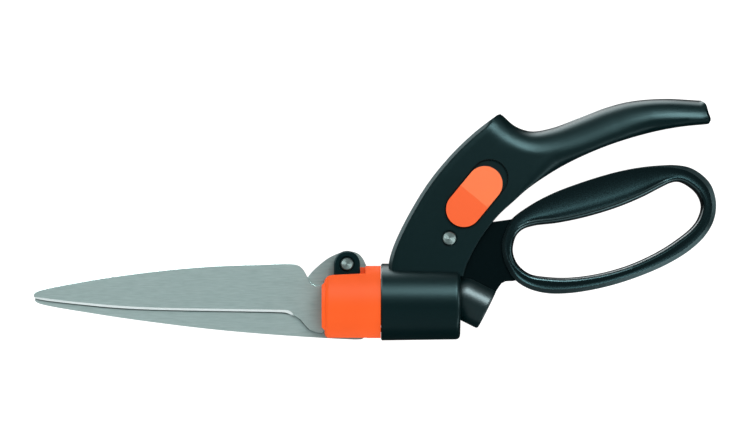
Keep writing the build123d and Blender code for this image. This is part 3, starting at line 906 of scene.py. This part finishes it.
def socket_cutters():
    """The ball's socket, the hole that its plug closes, and the mouth for the rod."""
    ball = [
        (SOCKET_RADIUS * math.cos(a), max(SOCKET_RADIUS * math.sin(a), ON_AXIS))
        for a in np.linspace(0, math.pi, 32)
    ]
    hole = [
        (0, ON_AXIS), (0, SOCKET_RADIUS), (PLUG_HOLE_LENGTH, SOCKET_RADIUS), (PLUG_HOLE_LENGTH, ON_AXIS),
    ]
    mouth = [(0, ON_AXIS), (0, MOUTH_START), (MOUTH_LENGTH, MOUTH_END), (MOUTH_LENGTH, ON_AXIS)]
    return [
        lathe("cutter", ball, BALL, 0.0, 48),
        lathe("cutter", hole, BALL, KNEE_TILT, 48),
        lathe("cutter", mouth, BALL, math.pi + MOUTH_TILT, 48),
    ]


def paint_lever(lever):
    """The loop's bevel and its faces that lean towards the lights shine more than its face, as a painted
    highlight; the flat web shines less, as painted shade; and the knee is greyer.

    facing is 1 for a face that is flat on to the tool's plane, and 0 for one that stands on edge.
    """
    places = np.array([face.center for face in lever.data.polygons])
    normals = np.array([face.normal for face in lever.data.polygons])
    flat = (places - TOOL)[:, :2] / MM
    height = np.abs(places[:, 2] - TOOL[2]) / MM
    facing = np.abs(normals[:, 2])
    outwards = ((flat - np.array(LOOP_MIDDLE)) * normals[:, :2]).sum(1) > 0
    # Painted shade on the flat web, which sits between the cheeks
    web = (np.abs(height - LEVER_HALF) < 0.05) & (facing > 0.99)
    on_loop = flat[:, 0] > LOOP_START
    leaning = (facing > 0.3) & (facing < 0.93) & (height > LEVER_HALF) & on_loop
    upwards = (normals[:, 1] > 0.5) & (facing > 0.5)
    # Painted highlight on leaning faces of the loop that face the lights
    rim = leaning & ((outwards & (facing > 0.45)) | (normals[:, 1] < -0.3) | upwards)
    on_knee = (flat[:, 0] < LOOP_START) & ~web
    kind = np.select([web, rim, on_knee], [2, 1, 3], 0)
    for face, index in zip(lever.data.polygons, kind):
        face.material_index = int(index)


def make_lever():
    lever = combine(finger_loop(), [lever_web(), knee()], "UNION")
    cutters = [prism("cutter", disc_outline(RIVET, LEVER_HOLE), -LEVER_HALF - PAST, LEVER_HALF + PAST)]
    combine(lever, cutters + socket_cutters(), "DIFFERENCE")
    settle(lever, [GLOSSY, LOOP_RIM_HIGHLIGHT, SHADED_WEB, KNEE], "lever", "squeeze_lever")
    paint_lever(lever)
    return lever


# The blades

MOVING_SPINE = [
    (-178.6, 3.2), (-178.2, 4.6), (-176.3, 5.75), (-154.7, 10.3), (-123.8, 14.9), (-92.9, 18.0),
    (-62.0, 19.3), (-45.2, 19.5), (-41.9, 18.4), (-39.7, 16.2), (-38.0, 13.1), (-36.3, 9.9), (-34.0, 8.4),
    (-31.0, 8.7),
]
MOVING_TANG = [
    (-24.0, 13.8), (-23.2, 18.5), (-22.6, 22.0), (-19.8, 24.9), (-15.2, 24.9), (-12.4, 22.3), (-11.8, 18.5),
    (-10.0, 8.0), (-9.4, -3.0), (-12.0, -5.6), (-17.5, -6.0), (-24.0, -11.0),
]
MOVING_EDGE = [
    (-30.7, -16.4), (-33.7, -15.9), (-36.9, -14.6), (-39.6, -11.8), (-42.0, -9.1), (-45.9, -6.9),
    (-49.5, -6.1), (-54.0, -5.8), (-113.8, -4.6), (-133.2, -3.8), (-155.0, -1.8), (-177.3, 1.3),
    (-178.3, 2.2),
]
MOVING_BEVEL = [
    (-178.6, 2.7), (-164.7, 0.9), (-148.9, -0.7), (-133.2, -2.0), (-113.8, -2.9), (-52.0, -4.0),
    (-47.8, -4.2), (-45.6, -5.6), (-44.9, -7.4),
]
FIXED_OUTLINE = [
    (-178.2, 1.6), (-178.0, 0.4), (-176.3, -0.7), (-144.4, -6.5), (-113.5, -10.9), (-82.6, -14.5),
    (-51.7, -17.1), (-20.8, -19.0), (-11.5, -19.3), (-9.2, -18.9), (-8.7, -17.5),
]
FIXED_LOBE = [
    (-7.7, 19.0), (-9.4, 22.4), (-12.0, 25.0), (-17.5, 26.1), (-26.0, 23.2), (-33.6, 17.4), (-37.6, 13.0),
    (-43.0, 5.0), (-52.0, -1.0), (-66.0, -2.3), (-113.8, -1.8), (-133.2, -1.0), (-155.0, 0.0), (-176.5, 2.4),
]

# The moving blade's side leans in where it faces down, and the edge above it is broken, half as
# much where it faces up
EDGE_BREAK = 0.35
EDGE_LEAN = 0.3

# Where across the bevel the steeper, honed part of it starts, and at what height
HONED_FROM = 0.66
HONED_HEIGHT = 1.3
HONED_BOTTOM = BLADE_BACK + 0.1

# How far a bevel's cutter goes on past the blade's edge, as a share of the bevel
BEVEL_PAST = 0.6

# Where the cutters of the blades' round holes start and end: the moving blade's and the fixed one's
MOVING_CUT = (-1, 4)
FIXED_CUT = (-4, 1)


def bevel_cutter(inner, edge, face, low):
    """What grinding takes away: all above a slope from the bevel's inner line down to the edge."""
    out = edge + (edge - inner) * BEVEL_PAST
    drop = low + (low - face) * BEVEL_PAST
    top = face + (face - low)
    rows = []
    for line, height in ((inner, face), (out, drop), (out, top), (inner, top)):
        rows.append(np.column_stack([line, np.full(len(line), height)]))
    return mesh_object("cutter", *tube(np.stack(rows, axis=1)))


def paint_bevel(made, bright, dark):
    """The bevel's flat part gets the bright material, its lighter grind brightened into a painted highlight, and
    the steep faces that face down, its honed part and the leaning side, get the dark one, a painted shadow line.
    """
    end = TOOL[0] + MOVING_BEVEL[-1][0] * MM
    for face in made.data.polygons:
        if face.normal.y < -0.1:
            # Steep faces that face down get the painted shadow line, the flatter bevel faces the painted highlight
            if 0.1 < face.normal.z < 0.6:
                face.material_index = dark
            elif 0.6 < face.normal.z < 0.95 and face.center.x < end:
                face.material_index = bright


def make_moving_blade():
    spine = curve(MOVING_SPINE, 130)
    tang = curve([MOVING_SPINE[-1], *MOVING_TANG, MOVING_EDGE[0]], 60)[1:-1]
    edge = curve(MOVING_EDGE, 130)
    outline = np.vstack([spine, tang, edge])
    levels = [
        (BLADE_BACK, 0.0, 0.0),
        (BLADE_FACE - EDGE_BREAK, EDGE_LEAN, 0.0),
        (BLADE_FACE, EDGE_LEAN + EDGE_BREAK, EDGE_BREAK / 2),
    ]
    loops = [
        np.column_stack([inset_edges(outline, below, above), np.full(len(outline), z)])
        for z, below, above in levels
    ]
    blade = mesh_object("blade_moving", *tube(np.stack(loops)))
    ground = curve(MOVING_EDGE[5:], 90)[::-1]
    start = curve(MOVING_BEVEL, 90)
    honed = mix(start, ground, HONED_FROM)
    cutters = [
        bevel_cutter(start, honed, BLADE_FACE, HONED_HEIGHT),
        bevel_cutter(honed, ground, HONED_HEIGHT, HONED_BOTTOM),
    ]
    cutters += [prism("cutter", disc_outline(BLADE_PIVOT, MOVING_PIVOT_HOLE, 48), *MOVING_CUT)]
    crank = np.array(CRANK) / math.hypot(*CRANK)
    ends = [np.array(BLADE_PIVOT) + crank * reach for reach in CRANK_SLOT]
    cutters += [prism("cutter", stadium_outline(*ends, CRANK_SLOT_RADIUS, 12), *MOVING_CUT)]
    combine(blade, cutters, "DIFFERENCE")
    settle(blade, [STEEL, BEVEL_GRIND_HIGHLIGHT, SHADOW_LINE], "blade", "moving_blade", BLADE_SHARP_ANGLE)
    paint_bevel(blade, 1, 2)
    return blade


def make_fixed_blade():
    lower = curve(FIXED_OUTLINE, 140)
    lobe = curve(FIXED_LOBE, 160)
    corner = [(-8.7, 11.0), (-7.7, 13.0)]
    blade = prism("blade_fixed", np.vstack([lower, corner, lobe]), -BLADE_FACE, -BLADE_BACK)
    cutters = [prism("cutter", disc_outline(BLADE_PIVOT, FIXED_PIVOT_HOLE, 48), *FIXED_CUT)]
    cutters += [prism("cutter", disc_outline(dowel, DOWEL_RADIUS, 32), *FIXED_CUT) for dowel in DOWELS]
    combine(blade, cutters, "DIFFERENCE")
    return settle(blade, LOBE_STEEL, "head", "fixed_blade", BLADE_SHARP_ANGLE)


# The studio

FLOOR_HALF = 4.0

# The sky's strength: above, the share of it right overhead, and below the floor
SKY_ABOVE = 0.62
SKY_ZENITH = 0.45
SKY_BELOW = 0.03

# The glow low down: its strength and the side that it comes from
GLOW = 13.0
GLOW_SIDE = (-0.574, 0.819, 0.0)

# The camera: how far above the tool it is, how wide its view is there, and what it looks at
CAMERA_DISTANCE = 2.5
VIEW_ACROSS = 0.3860
VIEW_MIDDLE = (-3.09, 40.9, 0.0)


def make_floor():
    """A white light table: it fills the background and stays out of the reflections."""
    size = FLOOR_HALF
    mesh = bpy.data.meshes.new("floor")
    corners = [(-size, -size, 0), (size, -size, 0), (size, size, 0), (-size, size, 0)]
    mesh.from_pydata(corners, [], [(0, 1, 2, 3)])
    floor = bpy.data.objects.new("floor", mesh)
    bpy.context.scene.collection.objects.link(floor)
    paper = Shader("floor_paper", (0.25, 0.25, 0.25), 0.9)
    paper.put("Emission Color", (1, 1, 1, 1))
    paper.put("Emission Strength", 1.0)
    floor.data.materials.append(paper.material)
    floor.visible_glossy = False


def area_light(name, place, target, size, radiance, shine=True, spread=True):
    """A softbox: shine says whether reflections show it, and spread whether it lights matt faces."""
    data = bpy.data.lights.new(name, "AREA")
    data.shape = "RECTANGLE"
    data.size, data.size_y = size
    data.energy = radiance * math.pi * size[0] * size[1]
    light = bpy.data.objects.new(name, data)
    light.location = place
    light.rotation_euler = (Vector(target) - Vector(place)).to_track_quat("-Z", "Y").to_euler()
    light.visible_camera = False
    light.visible_glossy = shine
    light.visible_diffuse = spread
    bpy.context.scene.collection.objects.link(light)


def make_world():
    """A soft sky: even from above, a glow low down at the back and left, dark below the floor."""
    world = bpy.data.worlds.new("studio")
    world.use_nodes = True
    tree = world.node_tree

    def node(kind, **settings):
        made = tree.nodes.new(kind)
        for key, value in settings.items():
            setattr(made, key, value)
        return made

    def ramp(source, low, high, start, end):
        made = set_range(node("ShaderNodeMapRange", interpolation_type="SMOOTHSTEP"), low, high, start, end)
        tree.links.new(source, made.inputs["Value"])
        return made.outputs["Result"]

    def math_node(operation, *sources):
        made = node("ShaderNodeMath", operation=operation)
        for socket, source in zip(made.inputs, sources):
            tree.links.new(source, socket)
        return made.outputs["Value"]

    def towards(x, y, z):
        made = node("ShaderNodeVectorMath", operation="DOT_PRODUCT")
        tree.links.new(direction, made.inputs[0])
        made.inputs[1].default_value = Vector((x, y, z)).normalized()
        return made.outputs["Value"]

    direction = node("ShaderNodeTexCoord").outputs["Generated"]
    up = towards(0, 0, 1)
    hole = ramp(up, 0.90, 0.985, 1.0, SKY_ZENITH)
    above = math_node("MULTIPLY", ramp(up, -0.05, 0.12, SKY_BELOW, SKY_ABOVE), hole)
    band = math_node("MULTIPLY", ramp(up, -0.95, -0.6, 0, 1), ramp(up, -0.15, 0.10, 1, 0))
    side = ramp(towards(*GLOW_SIDE), 0.45, 0.85, 0, GLOW)
    total = math_node("ADD", above, math_node("MULTIPLY", band, side))
    tree.nodes["Background"].inputs["Color"].default_value = (1, 1, 1, 1)
    tree.links.new(total, tree.nodes["Background"].inputs["Strength"])
    bpy.context.scene.world = world


def make_lights():
    """The sky, a key light in three nested sizes, so that its reflection has a soft edge, and the rest."""
    make_world()
    for number, grow in enumerate((0.0, 0.12, 0.26)):
        size = (0.42 + grow, 0.48 + grow)
        area_light(f"key_{number}", (0.405, 0.76, 1.10 + 0.02 * number), (0.05, 0, 0), size, 11, spread=False)
    area_light("left", (-0.09, 0.78, 1.12), (0.0, 0, 0), (0.42, 0.55), 4.7, spread=False)
    area_light("right", (1.2, 0.1, 0.45), (0.05, 0, 0), (0.6, 0.5), 10, spread=False)
    area_light("low", (0.95, -1.0, 0.30), (0.15, 0, 0), (0.95, 0.45), 5, spread=False)
    area_light("fill_back", (0.1, 0.8, 1.2), (0, 0, 0), (1.4, 0.8), 2.1, shine=False)
    area_light("fill_front", (0.1, -1.0, 1.0), (0, 0, 0), (1.4, 0.8), 2.4, shine=False)


def make_camera():
    """Straight down on the tool's left side, from far away."""
    data = bpy.data.cameras.new("camera")
    data.sensor_width = 36.0
    data.lens = data.sensor_width * CAMERA_DISTANCE / VIEW_ACROSS
    data.clip_end = 20.0
    camera = bpy.data.objects.new("camera", data)
    middle = in_row(VIEW_MIDDLE)
    camera.location = (middle[0], middle[1], middle[2] + CAMERA_DISTANCE)
    bpy.context.scene.collection.objects.link(camera)
    bpy.context.scene.camera = camera


bpy.context.scene.view_settings.view_transform = "Standard"
make_camera()
make_lights()
make_floor()
finish_cad_nodes()
make_handle()
make_lever()
make_moving_blade()
make_fixed_blade()
